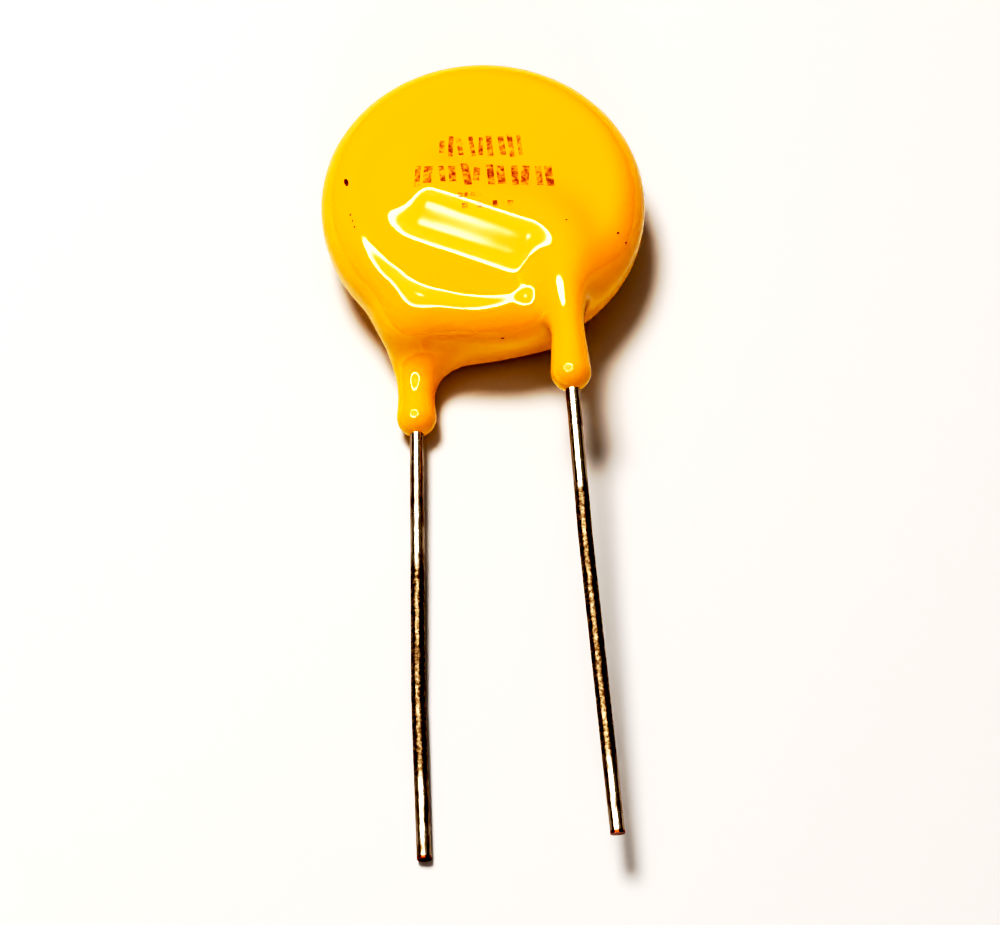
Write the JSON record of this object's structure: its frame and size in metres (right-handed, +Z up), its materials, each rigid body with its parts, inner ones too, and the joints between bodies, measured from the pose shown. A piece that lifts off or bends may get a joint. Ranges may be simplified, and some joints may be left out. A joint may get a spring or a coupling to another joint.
{
  "type": "disc varistor",
  "caption": "Disc varistor: a ceramic disc dipped in glossy yellow epoxy, with radial wire leads that cross its faces under low ridges and leave through coated legs.",
  "frame": {"origin": "middle of the part's footprint, on the surface that it lies on", "axes": "+Z up from the surface, out of the marked front face; +Y from the lead tips towards the disc; +X to the right of the front face"},
  "size_m": [0.0154, 0.0392, 0.0059],
  "materials": {
    "epoxy": "glossy dipped epoxy, bright yellow, with faded brown ink marks on the front",
    "varistor_ceramic": "matt sintered zinc oxide, dark grey",
    "electrode_silver": "satin fired silver",
    "solder": "smooth dull solder",
    "tinned_wire": "tinned copper wire, handled and slightly dulled, bare copper at the cut ends"
  },
  "bodies": {
    "root": {"coating": "epoxy", "ceramic_disc": "varistor_ceramic", "front_electrode": "electrode_silver", "rear_electrode": "electrode_silver", "front_solder": "solder", "rear_solder": "solder", "front_lead": "tinned_wire", "rear_lead": "tinned_wire"}
  },
  "joints": []
}
